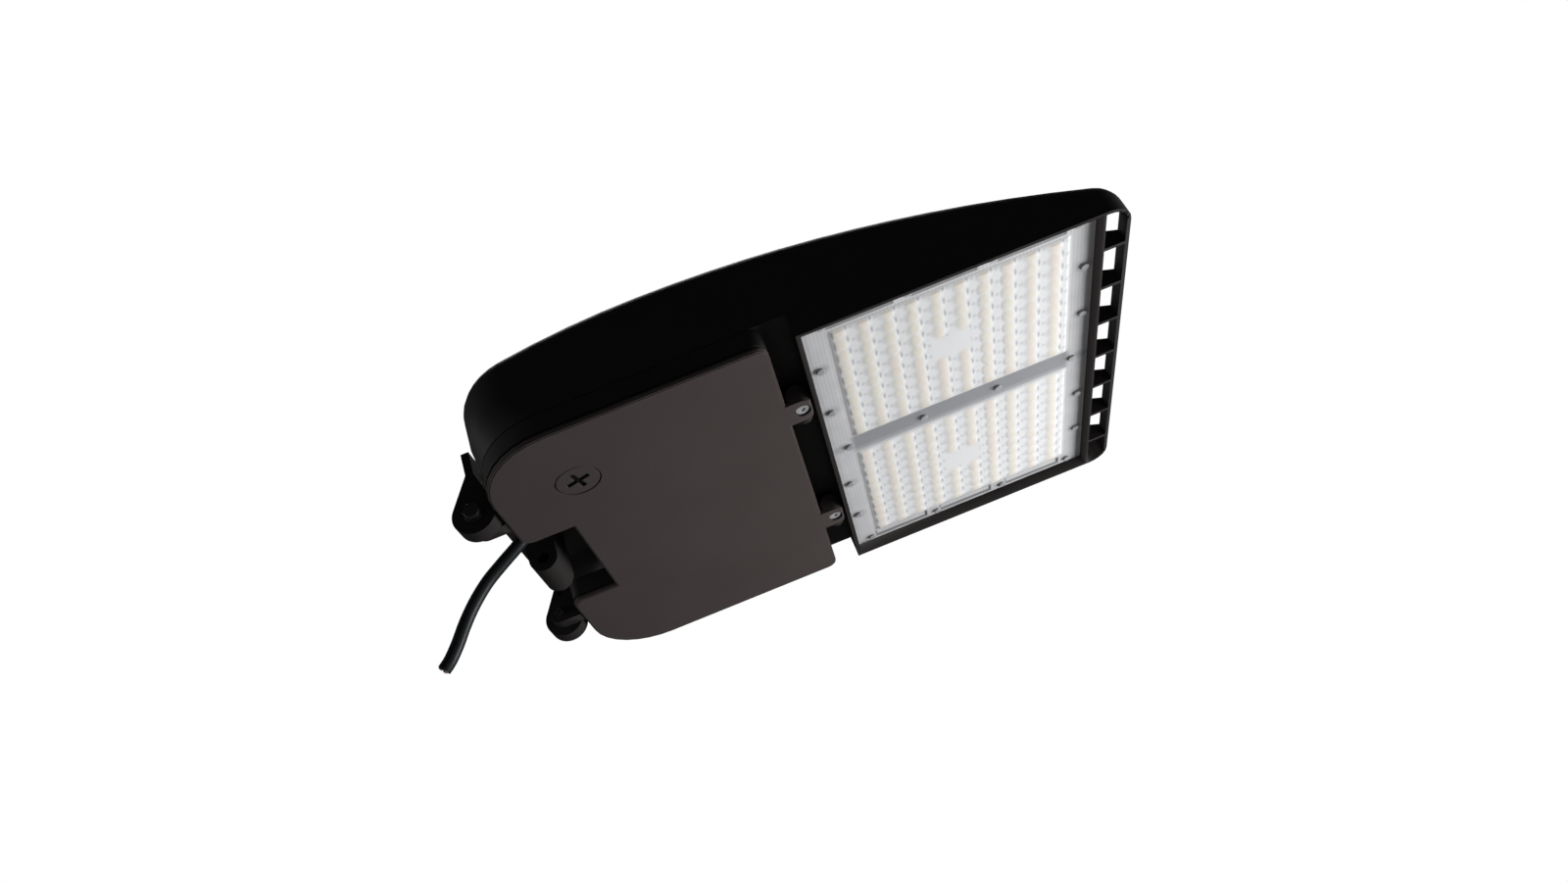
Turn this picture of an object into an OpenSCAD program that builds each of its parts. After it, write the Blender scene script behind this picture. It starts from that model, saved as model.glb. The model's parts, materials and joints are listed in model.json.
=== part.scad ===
// Outdoor LED flood light with a tilting rear bracket.
// Origin: centre of the bracket's mounting face. +X points to the front tip,
// +Z up, and the light shines towards -Z.

/* [Body] */
// Length of the body along X
body_len = 423.5; // [390:0.5:460]
// Width of the body along Y
body_w = 300; // [280:2:340]
// Height of the arched top over the underside, at its highest
crown_h = 80; // [74:1:90]
// Distance from the rear wall to the highest place of the arch
peak_back = 125; // [110:5:150]
// Arch radius ahead of its highest place
arch_front_r = 800; // [780:10:1100]
// Arch radius behind its highest place
arch_rear_r = 500; // [450:10:800]
// Rise of the top across its width
top_rise = 4; // [1:0.5:6]
// Radius of the rear corners in plan
rear_corner_r = 50; // [40:1:62]
// Radius of the rear corners where the housing is fullest
full_corner_r = 36; // [30:1:48]
// Radius of the front corners in plan
front_corner_r = 14; // [12:1:20]
// Radius where the walls turn into the top
top_edge_r = 12; // [9:0.5:14]
// Thickness of the cast walls
wall = 3; // [2.5:0.1:4]
// Height of the joint between the frame casting and the housing
seam_up = 18; // [16:0.5:20]

/* [Front grille] */
// Thickness of the bar at the front tip
tip_t = 2.5; // [2.5:0.1:5]
// Length of the open slots behind the tip bar
window_len = 14; // [10:0.5:18]
// Width of the strip between the slots and the lens
strip_len = 2; // [2:0.5:8]
// Number of ribs across the slots
rib_count = 7; // [5:2:7]
// Distance between two ribs
rib_pitch = 38.4; // [36:0.1:40]
// Thickness of a rib
rib_t = 2.5; // [2:0.1:4]
// Height of the tip bar between the side rails
rib_tip_h = 10; // [8:0.5:14]

/* [Heat sink] */
// Cooling fins for each rib
fins_per_rib = 3; // [2:1:3]
// Thickness of a fin
fin_t = 2; // [1.6:0.1:2.6]
// How far the fins stay below the arch
fin_drop = 4; // [2:0.5:8]
// Width of the side rails beside the fins
rail_w = 8; // [7:0.5:12]
// Thickness of the plate that carries the boards
base_t = 4; // [4:0.5:8]

/* [Light module] */
// Length of the lens opening
lens_len = 193; // [180:0.5:205]
// Width of the rim on each side of the lens opening
rim_w = 2.5; // [2:0.5:6]
// Depth of the board cavity above the underside
cavity_h = 12.5; // [11.5:0.1:14]
// How far the lens flange is set in from the underside
lens_inset = 7.4; // [6.5:0.1:8]
// Thickness of the lens flange
lens_t = 2.2; // [1.8:0.1:2.6]
// Gap between the lens edge and its opening
lens_gap = 0.8; // [0.4:0.1:1.2]
// Height of the raised lens fields below the flange
field_h = 2; // [1:0.1:3]
// Width of the flat band between the two lens fields
band_w = 20; // [16:1:24]
// Width of the flange beyond the lens fields, along the sides
side_flange = 10.2; // [10.2:0.1:12]
// Width of the flange beyond the lens fields, at the front and the rear
end_flange = 15.7; // [15.5:0.1:18]
// Width of the lens seal
seal_w = 4; // [3:0.5:5]
// Thickness of a circuit board
board_t = 1.6; // [1.2:0.1:2]
// Thickness of the heat pad under a board
pad_t = 0.3; // [0.2:0.1:0.5]
// LED columns on a board
led_cols = 10; // [6:2:10]
// LED rows on a board
led_rows = 10; // [6:2:10]
// How far the LED columns sit behind the middle of the lens
led_shift = 2; // [0:0.5:3]
// Side of an LED
led_w = 5; // [3:0.1:5.6]
// Height of an LED
led_h = 0.7; // [0.4:0.1:0.9]
// Screws along each row of the lens
lens_screw_cols = 4; // [3:1:5]
// Distance from a lens screw to the lens edge
lens_screw_edge = 12; // [9:0.5:13]
// Distance from the side screws to the lens edge
side_screw_edge = 6; // [5:0.5:7]
// Shank radius of a lens screw
lens_screw_r = 1.5; // [1.2:0.1:1.8]
// Head radius of a lens screw
lens_head_r = 2.8; // [2.4:0.1:3.4]

/* [Driver compartment] */
// Width of the channel between the driver cover and the lens
channel_len = 21; // [19:0.5:26]
// Thickness of the channel's roof
channel_t = 4; // [3:0.5:5]
// Thickness of the driver cover
cover_t = 3.2; // [2.8:0.1:4]
// Rounding of the cover's lower edge
cover_edge_r = 1.5; // [0.8:0.1:2]
// Radius of the cover's front corners
cover_front_r = 8; // [5:0.5:12]
// Thickness of the cover seal
cover_seal_t = 2; // [1.5:0.1:2.4]
// Width of the cover seal
cover_seal_w = 6; // [4:0.5:7]
// How far the frame's lip reaches inwards
lip_w = 9; // [8:0.5:12]
// Thickness of the frame's lip
lip_t = 3; // [2:0.1:4]
// Thickness of the seal between the frame and the housing
frame_seal_t = 0.6; // [0.4:0.1:1]
// Half the width of the rear notch
notch_half_w = 47; // [44:0.5:50]
// Radius of the corners beside the rear notch
notch_corner_r = 8; // [4:0.5:10]
// Depth of the rear notch
notch_len = 34.5; // [32:0.5:38]
// Height of the rear notch
notch_h = 36; // [34:0.5:40]
// Shank radius of a frame screw
frame_screw_r = 1.8; // [1.5:0.1:2]
// Radius of the bosses that the frame screws enter
boss_r = 4.5; // [4:0.1:5.5]

/* [Cover hinge] */
// Distance of each cover hinge from the middle
hinge_side = 74; // [60:1:100]
// Width of a hinge tongue on the cover
tongue_w = 22; // [18:0.5:24]
// Height of the hinge pins over the cover's underside
tongue_r = 6; // [5.5:0.5:6.5]
// Radius of the rounded end of a hinge tongue
nose_r = 8; // [7:0.1:8]
// Radius of the recess that holds a set screw's head
recess_r = 5.5; // [5:0.1:6]
// Thickness of a hinge cheek on the frame
cheek_t = 4; // [3:0.5:5]
// Radius of a hinge pin
pin_r = 2; // [1.6:0.1:2.4]
// Distance of the hinge pins from the compartment's front wall
pin_out = 9.5; // [9:0.5:9.5]
// Radius of the set screws that hold the pins
set_r = 2.5; // [2:0.1:3]

/* [Cover latch] */
// Place of the latch along X, from the rear wall
latch_x = 54; // [50:1:62]
// Place of the latch across the body
latch_side = 95; // [80:1:100]
// Radius of the latch head
latch_head_r = 14; // [11:0.5:16]
// Thickness of the latch head
latch_head_t = 2.4; // [2:0.1:2.6]
// Radius of the latch stud
latch_stud_r = 3; // [2.5:0.1:4]
// Length of the cross in the latch head
cross_len = 16; // [12:0.5:18]
// Width of the cross in the latch head
cross_w = 3.2; // [2:0.1:3.5]
// Turn of the cross from the body's length, with the cover locked
cross_turn = -15; // [-45:1:45]

/* [Gear inside] */
// Length of the driver
driver_len = 130; // [110:1:132]
// Width of the driver
driver_w = 68; // [50:1:76]
// Height of the driver
driver_h = 34; // [28:1:36]
// Thickness of the gear tray
tray_t = 1.5; // [1:0.1:2]
// Height of the gear tray over the underside
tray_up = 56; // [54:0.5:58]

/* [Bracket] */
// Thickness of the bracket's mounting plate
web_t = 5.5; // [5:0.5:8]
// Height of the bracket's mounting plate
web_h = 28; // [26:1:32]
// Distance between the two mounting bolts
mount_spacing = 100; // [80:1:110]
// Radius of a mounting bolt hole
mount_hole_r = 5.5; // [4:0.1:6]
// Gap between the mounting plate and the rear wall
rear_gap = 9.5; // [9.5:0.5:12]
// Distance from the plate's centre down to the pivot
pivot_drop = 32.5; // [31:0.5:40]
// Height of the pivot over the underside
pivot_up = 9.5; // [8:0.5:11]
// Distance from the middle to the inner face of a bracket ear
ear_in = 79; // [76:0.5:84]
// Thickness of a bracket ear
ear_t = 12; // [10:0.5:14]
// Radius of a bracket ear
ear_r = 14.5; // [13:0.5:14.5]
// Thickness of a pivot lug on the housing
lug_t = 10.4; // [9:0.1:12]
// Radius of a pivot lug on the housing
lug_r = 8.5; // [8:0.5:12]
// Shank radius of a pivot bolt
bolt_r = 3; // [2.5:0.1:4]
// Running gap round a pivot bolt and a hinge pin
run_gap = 0.05; // [0.03:0.01:0.08]
// Thickness of a pivot washer
washer_t = 1; // [0.8:0.1:1.6]
// Radius of a pivot washer
washer_r = 6.2; // [6:0.1:8]
// Thickness of the friction washer between ear and lug
friction_t = 0.6; // [0.4:0.1:1]
// Distance across the flats of the bolt heads
hex_flats = 10; // [10:0.5:12]
// Height of a bolt head
head_h = 4; // [3.5:0.1:5]
// Width of the safety eye under the notch roof
eye_w = 34; // [24:1:38]
// Hole radius of the safety eye
eye_hole_r = 4; // [3:0.5:5]

/* [Cord] */
// Diameter of the supply cord
cord_d = 9; // [7:0.1:10]
// Length of the strain relief's nose
relief_len = 24; // [20:1:26]
// Height of the cord where it leaves the housing, over the underside
cord_up = 25; // [24.5:0.5:26]
// Distance of the cord from the middle
cord_side = 33; // [28:1:34]

/* [Hidden] */
$fn = 48;
slip = 0.3;
touch = 0.02;
over = 1;

// Levels and stations worked out from the sizes above
z0 = -pivot_drop - pivot_up;
pivot_z = -pivot_drop;
seam_z = z0 + seam_up;
body_x0 = web_t + rear_gap;
body_x1 = body_x0 + body_len;
half_w = body_w / 2;
peak_x = body_x0 + peak_back;
window_x1 = body_x1 - tip_t;
window_x0 = window_x1 - window_len;
lens_x1 = window_x0 - strip_len;
lens_x0 = lens_x1 - lens_len;
gear_x1 = lens_x0 - channel_len;
gear_front_x = lens_x0 - wall;
box_x1 = gear_front_x - 6;
notch_x1 = body_x0 + notch_len;
notch_z = z0 + notch_h;
base_top = z0 + cavity_h + base_t;
frame_z0 = z0 + cover_t + cover_seal_t;
frame_z1 = seam_z - frame_seal_t;
rail_in = half_w - rail_w;
cavity_half = half_w - rim_w;
front_gap_half = half_w - front_corner_r - rim_w;
pin_x = gear_x1 + pin_out;
pin_z = z0 + tongue_r;
latch_pos = [body_x0 + latch_x, -latch_side];
tray_z = z0 + tray_up;
board_z1 = z0 + cavity_h - pad_t;
board_z0 = board_z1 - board_t;
lens_z0 = z0 + lens_inset;
lens_z1 = lens_z0 + lens_t;
lens_mid_x = (lens_x0 + lens_x1) / 2;
lens_half = cavity_half - lens_gap;
field_edge = 0.75;
field_half_x = (lens_len / 2) - lens_gap - end_flange;
field_y0 = band_w / 2;
field_y1 = lens_half - side_flange;
led_col_pitch = 2 * (field_half_x - field_edge) / led_cols;
led_row_pitch = (field_y1 - field_y0 - 2 * field_edge) / led_rows;
cord_r = cord_d / 2;
cord_z = z0 + cord_up;
relief_x = notch_x1 - relief_len;
lug_in = ear_in - friction_t - lug_t;
hex_r = hex_flats / 2 / cos(30);

// Height of the arched top over the underside at a place along X
function arch(x) =
    let (u = x - peak_x, r = u > 0 ? arch_front_r : arch_rear_r)
    crown_h - r + sqrt(r * r - u * u);

// Top of a round post under the roof: it ends in the middle of the roof's thickness where that is lowest
function post_top(p, r) =
    z0 + arch(p[0] - r) - wall / 2 + top_rise * (1 - pow((abs(p[1]) + r) / half_w, 2));

// One side of a plan outline with rounded corners, from the rear to the front
function half_plan(x0, x1, hw, rr, rf, steps) = concat(
    [for (i = [0:8]) [x0 + rr - rr * cos(90 * i / 8), hw - rr + rr * sin(90 * i / 8)]],
    [for (i = [1:steps - 1]) [x0 + rr + (x1 - rf - x0 - rr) * i / steps, hw]],
    [for (i = [0:5]) [x1 - rf + rf * sin(90 * i / 5), hw - rf + rf * cos(90 * i / 5)]]);

// Whole plan outline from one side, counter-clockwise from above
function both_sides(half) = concat(
    [for (p = half) [p[0], -p[1]]],
    [for (i = [len(half) - 1:-1:0]) half[i]]);

function plan(x0, x1, hw, rr, rf, steps = 2) = both_sides(half_plan(x0, x1, hw, rr, rf, steps));

// Outline of a space that ends behind the front wall and follows its rounded corners
function bay(x0, hw) = let (r = front_corner_r - tip_t, x1 = window_x1 - r) both_sides(concat(
    x0 < x1 ? [[x0, hw]] : [],
    [for (i = [0:5]) [max(x0, x1 + r * sin(90 * i / 5)), hw - r + r * cos(90 * i / 5)]]));

// Arched solid with rounded top edges, standing on the level zb. Each entry of low is a ring of
// the wall: its share of the wall's height and its rear corner radius.
module arched(x0, x1, hw, rr, rf, zb, low, drop, edge, steps) {
    cols = 6;
    turns = 5;
    tops = [for (j = [0:turns]) [edge * (1 - cos(90 * j / turns)), edge * sin(90 * j / turns) - edge]];
    halves = [for (t = tops) half_plan(x0 + t[0], x1 - t[0], hw - t[0], rr - t[0], rf - t[0], steps)];
    n = 2 * len(halves[0]);
    m = len(halves[0]);
    last = halves[turns];
    function top_z(x, j) = z0 + arch(x) - drop + tops[j][1];
    function rise(k) = top_rise * min(1, min(k, m - 1 - k) / 8);
    walls = concat(
        [for (g = low) for (p = both_sides(half_plan(x0, x1, hw, g[1], rf, steps)))
            [p[0], p[1], zb + g[0] * (top_z(p[0], 0) - zb)]],
        [for (j = [0:turns]) for (p = both_sides(halves[j])) [p[0], p[1], top_z(p[0], j)]]);
    inner = [for (k = [1:m - 2]) for (c = [1:cols - 1])
        let (s = 2 * c / cols - 1)
        [last[k][0], last[k][1] * s, top_z(last[k][0], turns) + rise(k) * (1 - s * s)]];
    rows = len(low) + turns + 1;
    function edge_near(k) = (rows - 1) * n + k;
    function edge_far(k) = (rows - 1) * n + n - 1 - k;
    function cap(k, c) = c == 0 ? edge_near(k) : c == cols ? edge_far(k)
        : rows * n + (k - 1) * (cols - 1) + c - 1;
    sides = [for (j = [0:rows - 2]) for (i = [0:n - 1])
        let (a = j * n + i, b = j * n + (i + 1) % n)
        each [[a, a + n, b + n], [a, b + n, b]]];
    top = [for (k = [1:m - 3]) for (c = [0:cols - 1])
        each [[cap(k, c), cap(k, c + 1), cap(k + 1, c + 1)], [cap(k, c), cap(k + 1, c + 1), cap(k + 1, c)]]];
    rear_fan = concat([for (c = [0:cols - 1]) c < cols / 2
        ? [edge_near(0), cap(1, c + 1), cap(1, c)]
        : [edge_far(0), cap(1, c + 1), cap(1, c)]],
        [[edge_near(0), edge_far(0), cap(1, cols / 2)]]);
    front_fan = concat([for (c = [0:cols - 1]) c < cols / 2
        ? [edge_near(m - 1), cap(m - 2, c), cap(m - 2, c + 1)]
        : [edge_far(m - 1), cap(m - 2, c), cap(m - 2, c + 1)]],
        [[edge_near(m - 1), cap(m - 2, cols / 2), edge_far(m - 1)]]);
    bottom = [[for (i = [0:n - 1]) i]];
    polyhedron(concat(walls, inner), concat(bottom, sides, top, rear_fan, front_fan), convexity = 6);
}

module slab(outline, za, zb) {
    translate([0, 0, za]) linear_extrude(zb - za) polygon(outline);
}

module block(x0, x1, y0, y1, za, zb) {
    translate([x0, y0, za]) cube([x1 - x0, y1 - y0, zb - za]);
}

// Plate of an X-Z outline, from y0 to y1
module side_plate(y0, y1) {
    translate([0, y1, 0]) rotate([90, 0, 0]) linear_extrude(y1 - y0) children();
}

// Round bar along Y
module bar_y(r, y0, y1, x, z) {
    translate([x, y1, z]) rotate([90, 0, 0]) cylinder(r = r, h = y1 - y0);
}

module hex_y(y0, y1, x, z) {
    translate([x, y1, z]) rotate([90, 0, 0]) cylinder(r = hex_r, h = y1 - y0, $fn = 6);
}

module both() {
    children();
    mirror([0, 1, 0]) children();
}

// Places of the screws, bosses and LEDs
boss_in = wall + boss_r - over;
frame_screw_at = [[body_x0 + 82, half_w - boss_in], [gear_x1 - 26, half_w - boss_in],
    [body_x0 + boss_in, notch_half_w + wall + 26]];
frame_spots = [for (p = frame_screw_at) for (s = [-1, 1]) [p[0], s * p[1]]];
tray_x0 = body_x0 + 20;
tray_x1 = gear_x1 - 14;
tray_y0 = -latch_side + 18;
tray_y1 = half_w - wall - 20;
tray_spots = [for (x = [tray_x0 + 8, tray_x1 - 8]) for (y = [tray_y0 + 8, tray_y1 - 8]) [x, y]];
screw_rows = [-lens_half + lens_screw_edge / 2, 0, lens_half - lens_screw_edge / 2];
screw_x0 = lens_x0 + lens_gap + lens_screw_edge;
screw_step = (lens_len - 2 * lens_gap - 2 * lens_screw_edge) / (lens_screw_cols - 1);
side_rows = [for (s = [-1, 1]) for (q = [1, 2]) s * q * lens_half / 3];
lens_spots = concat(
    [for (i = [0:lens_screw_cols - 1]) for (y = screw_rows) [screw_x0 + i * screw_step, y]],
    [for (x = [lens_x0 + lens_gap + side_screw_edge, lens_x1 - lens_gap - side_screw_edge])
        for (y = side_rows) [x, y]]);
rib_max = (rib_count - 1) / 2;
fin_pitch = rib_pitch / fins_per_rib;
fin_max = rib_max * fins_per_rib + 1;
led_x0 = lens_mid_x - led_shift - (led_cols - 1) / 2 * led_col_pitch;
led_y0 = field_y0 + led_row_pitch / 2 + field_edge;
led_gap_cols = [led_cols / 2 - 1, led_cols / 2];
led_gap_rows = [led_rows / 2 - 1, led_rows / 2];
function led_left_out(i, j) = i >= led_gap_cols[0] && i <= led_gap_cols[1]
    && j >= led_gap_rows[0] && j <= led_gap_rows[1];

// Outline of the driver compartment and of its rear notch
function notch_corner(inset) =
    let (r = max(1, notch_corner_r - inset), x = body_x0 + inset, y = notch_half_w + inset)
    [for (i = [0:5]) [x + r - r * cos(90 * i / 5), y + r - r * sin(90 * i / 5)]];

function gear_outline(inset, front_r) =
    let (side = concat(notch_corner(inset), [[notch_x1 + inset, notch_half_w + inset]]))
    concat(plan(body_x0 + inset, gear_x1 - inset, half_w - inset, rear_corner_r - inset, front_r),
        side, [for (i = [len(side) - 1:-1:0]) [side[i][0], -side[i][1]]]);

module gear_plan(inset, za, zb, front_r) {
    slab(gear_outline(inset, front_r), za, zb);
}

driver_x0 = tray_x0 + 18;
driver_x1 = driver_x0 + driver_len;
driver_y0 = tray_y1 - 22 - driver_w;
driver_z0 = tray_z - driver_h;
hump_z = z0 + 24;
lead_x = lens_x0 + lens_gap + 2 * lens_screw_edge;
duct_half_w = 8;
duct_wall = 6;

// Supply cord: points of its middle line, chosen by hand
cord_route = [[56, -33, -17], [46, -33, -17], [36, -33, -17], [25, -33, -17], [16, -33, -23.5],
    [7, -33, -30.3], [-6, -33, -38.9], [-18, -33, -47.6], [-29, -33, -58.7],
    [-38, -33, -70.5], [-45.5, -33, -82.5], [-52, -33, -91.3], [-57.5, -33, -96.5]];
lead_y = driver_y0 + 12;
lead_z = tray_z - 20;
dc_route = [[driver_x1 + 0.4, lead_y, lead_z], [driver_x1 + 6, lead_y, lead_z],
    [driver_x1 + 12, lead_y - 6, (3 * lead_z + hump_z) / 4],
    [box_x1 - 17, lead_y / 2 + 5, (lead_z + hump_z) / 2],
    [box_x1 - 11, lead_y / 4, (lead_z + 5 * hump_z) / 6],
    [box_x1 - 5, 1, hump_z], [box_x1 + 3, 0, hump_z], [lead_x - 9, 0, hump_z],
    [lead_x - 2, 0, hump_z - 1.5], [lead_x, 0, hump_z - 6], [lead_x, 0, lens_z1 + 1.6]];

// Tube of radius r along points, with a ring at each point
function unit(v) = v / norm(v);
function tangent(path, i) = unit(path[min(i + 1, len(path) - 1)] - path[max(i - 1, 0)]);
function tube_ring(path, i, r, sides, side) =
    let (t = tangent(path, i), u = unit(cross(t, side)), v = cross(u, t))
    [for (k = [0:sides - 1]) path[i] + r * (cos(360 * k / sides) * u + sin(360 * k / sides) * v)];
module tube(path, r, sides, side) {
    n = len(path);
    points = [for (i = [0:n - 1]) each tube_ring(path, i, r, sides, side)];
    faces = concat(
        [[for (k = [sides - 1:-1:0]) k]],
        [for (i = [0:n - 2]) for (k = [0:sides - 1])
            let (a = i * sides + k, b = i * sides + (k + 1) % sides)
            each [[a, b, b + sides], [a, b + sides, a + sides]]],
        [[for (k = [0:sides - 1]) (n - 1) * sides + k]]);
    polyhedron(points, faces, convexity = 4);
}

// Ear of the bracket, seen from the side
module ear_outline() {
    hull() {
        translate([0, pivot_z]) circle(r = ear_r);
        translate([0, 5 - web_h / 2]) square([web_t, 6]);
    }
}

module bracket() {
    color([0.10, 0.10, 0.10]) difference() {
        union() {
            translate([0, -ear_in - ear_t, -web_h / 2]) cube([web_t, 2 * (ear_in + ear_t), web_h]);
            both() side_plate(ear_in, ear_in + ear_t) ear_outline();
            block(web_t - over, web_t + 2, -ear_in + 8, ear_in - 8, web_h / 2 - 5, web_h / 2 - 2);
            block(web_t - over, web_t + 2, -ear_in + 8, ear_in - 8, 2 - web_h / 2, 5 - web_h / 2);
        }
        for (s = [-1, 1]) translate([-over, s * mount_spacing / 2, 0]) rotate([0, 90, 0])
            cylinder(r = mount_hole_r, h = web_t + 2 * over);
        bar_y(bolt_r + run_gap, -ear_in - ear_t - over, ear_in + ear_t + over, 0, pivot_z);
    }
}

// Bolts that turn in the ears and are screwed into the lugs
bolt_out = ear_in + ear_t + washer_t;
module pivot_bolts() {
    color([0.16, 0.16, 0.17]) both() {
        bar_y(bolt_r, lug_in - 1.5, bolt_out + 0.5, 0, pivot_z);
        hex_y(bolt_out, bolt_out + head_h, 0, pivot_z);
    }
}

module ring_y(r, hole, y0, y1) {
    difference() {
        bar_y(r, y0, y1, 0, pivot_z);
        bar_y(hole, y0 - over, y1 + over, 0, pivot_z);
    }
}

module pivot_washers() {
    color([0.16, 0.16, 0.17]) both() ring_y(washer_r, bolt_r + touch, ear_in + ear_t, bolt_out);
}

module friction_washers() {
    color([0.30, 0.30, 0.31]) both() ring_y(lug_r - 1, bolt_r + touch, ear_in - friction_t, ear_in);
}

// Pivot lug on the rear wall of the housing
module lug_outline() {
    hull() {
        translate([0, pivot_z]) circle(r = lug_r);
        translate([body_x0 - slip - 4, z0 + 1]) square([4, -web_h / 2 - 1 - z0 - 1]);
    }
}

// Cooling fin, seen from the side: it stands on the board plate and on the channel's roof
module fin_outline(x0, x1, drop) {
    steps = 14;
    polygon(concat([[x1, base_top], [gear_front_x + over, base_top],
        [gear_front_x + over, seam_z + channel_t], [x0, seam_z + channel_t]],
        [for (i = [0:steps]) let (x = x0 + (x1 - x0) * i / steps) [x, z0 + arch(x) - drop]]));
}

module cooling_fins() {
    color([0.07, 0.07, 0.07]) difference() {
        for (i = [-fin_max:fin_max]) translate([0, i * fin_pitch, 0])
            side_plate(-fin_t / 2, fin_t / 2) fin_outline(box_x1 + wall, lens_x1 + 1, fin_drop);
        block(box_x1, lead_x + duct_wall, -duct_half_w, duct_half_w, base_top - over, hump_z + duct_wall);
    }
}

module ribs() {
    for (i = [-rib_max:rib_max]) translate([0, i * rib_pitch, 0]) side_plate(-rib_t / 2, rib_t / 2)
        polygon([[window_x0 - over, z0], [window_x1 + 0.5, z0], [window_x1 + 0.5, z0 + rib_tip_h],
            [window_x0 - over, base_top - over]]);
}

// Housing: arched shell over the driver, open bay for the fins over the boards, front grille
module housing_shell() {
    difference() {
        arched(body_x0, body_x1, half_w, full_corner_r, front_corner_r, z0,
            [[0, rear_corner_r], [0.34, rear_corner_r], [0.62, full_corner_r]], 0, top_edge_r, 16);
        block(body_x0 - over, gear_front_x, -half_w - over, half_w + over, z0 - over, seam_z);
        arched(body_x0 + wall, box_x1, half_w - wall, full_corner_r - wall, top_edge_r, seam_z - over,
            [[0, rear_corner_r - wall], [0.45, full_corner_r - wall]], wall, top_edge_r - wall, 8);
        slab(bay(box_x1 + wall, rail_in), base_top, z0 + crown_h + 10);
        slab(bay(window_x0, cavity_half), z0 - over, base_top);
        block(window_x1 - over, body_x1 + over, -front_gap_half, front_gap_half, z0 + rib_tip_h,
            z0 + crown_h);
        block(lens_x0, lens_x1, -cavity_half, cavity_half, z0 - over, z0 + cavity_h);
    }
}

module notch_pocket() {
    block(body_x0, notch_x1 + wall, -notch_half_w - wall, notch_half_w + wall, seam_z, notch_z + wall);
    both() block(body_x0 + over, body_x0 + notch_corner_r, notch_half_w + over, notch_half_w + notch_corner_r,
        seam_z, notch_z + wall);
}

// Space outside the rounded corners beside the rear notch
module notch_corners() {
    arc = notch_corner(0);
    both() slab(concat([[body_x0 - over, notch_half_w - over], [arc[5][0], notch_half_w - over]],
        [for (i = [5:-1:0]) arc[i]], [[body_x0 - over, arc[0][1]]]), seam_z - over, notch_z);
}

latch_post_r = 8;
module housing_posts() {
    for (p = frame_spots) translate([p[0], p[1], seam_z]) cylinder(r = boss_r, h = 16);
    for (p = tray_spots) translate([p[0], p[1], tray_z + tray_t])
        cylinder(r = boss_r, h = post_top(p, boss_r) - tray_z - tray_t);
    translate([latch_pos[0], latch_pos[1], z0 + 14])
        cylinder(r = latch_post_r, h = post_top(latch_pos, latch_post_r) - z0 - 14);
}

module housing() {
    color([0.07, 0.07, 0.07]) difference() {
        union() {
            housing_shell();
            block(gear_x1 - wall, gear_front_x + over, -half_w + wall / 2, half_w - wall / 2,
                seam_z, seam_z + channel_t);
            ribs();
            housing_posts();
            notch_pocket();
            block(box_x1 + over, lead_x + duct_wall, -duct_half_w, duct_half_w, seam_z + over,
                hump_z + duct_wall);
            block(gear_front_x + over / 2, lead_x + duct_wall, -duct_half_w, duct_half_w,
                base_top - over, hump_z);
            both() side_plate(lug_in, lug_in + lug_t) lug_outline();
            both() block(body_x0 - slip - 2, body_x0 + wall / 2, lug_in, lug_in + lug_t,
                seam_z + 0.5, seam_z + 14.5);
            side_plate(-eye_w / 2, eye_w / 2) eye_outline();
        }
        block(body_x0 - over, notch_x1, -notch_half_w, -eye_w / 2, seam_z - over, notch_z);
        block(body_x0 - over, notch_x1, eye_w / 2, notch_half_w, seam_z - over, notch_z);
        notch_corners();
        block(eye_x + eye_r, notch_x1, -eye_w / 2 - over, eye_w / 2 + over, seam_z - over, notch_z);
        bar_y(bolt_r + touch, -ear_in, ear_in, 0, pivot_z);
        bar_y(eye_hole_r, -eye_w, eye_w, eye_x, eye_z);
        translate([notch_x1 - over, -cord_side, cord_z]) rotate([0, 90, 0])
            cylinder(r = cord_r + 2, h = wall + 2 * over);
        translate([box_x1 - over, 0, hump_z]) rotate([0, 90, 0]) cylinder(r = 4, h = lead_x - box_x1);
        translate([lead_x, 0, z0 + cavity_h - over]) cylinder(r = 4, h = hump_z - z0 - cavity_h + over);
        for (p = frame_spots) translate([p[0], p[1], seam_z - over])
            cylinder(r = frame_screw_r + touch, h = 15);
        for (p = tray_spots) translate([p[0], p[1], tray_z + tray_t - over])
            cylinder(r = 1.5 + touch, h = 9);
        for (p = lens_spots) translate([p[0], p[1], z0 + cavity_h - over])
            cylinder(r = lens_screw_r + touch, h = 4.5);
        translate([latch_pos[0], latch_pos[1], z0 + 13]) cylinder(r = latch_stud_r + 1.5, h = 12);
    }
}

// Safety eye that hangs from the notch roof
eye_r = 10;
eye_x = body_x0 + 3;
eye_z = z0 + 6;
module eye_outline() {
    translate([eye_x, eye_z]) circle(r = eye_r);
    translate([eye_x - eye_r, eye_z]) square([2 * eye_r, seam_up + 1]);
    translate([body_x0, eye_z]) square([eye_x + eye_r - body_x0, notch_h - 5]);
}

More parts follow.
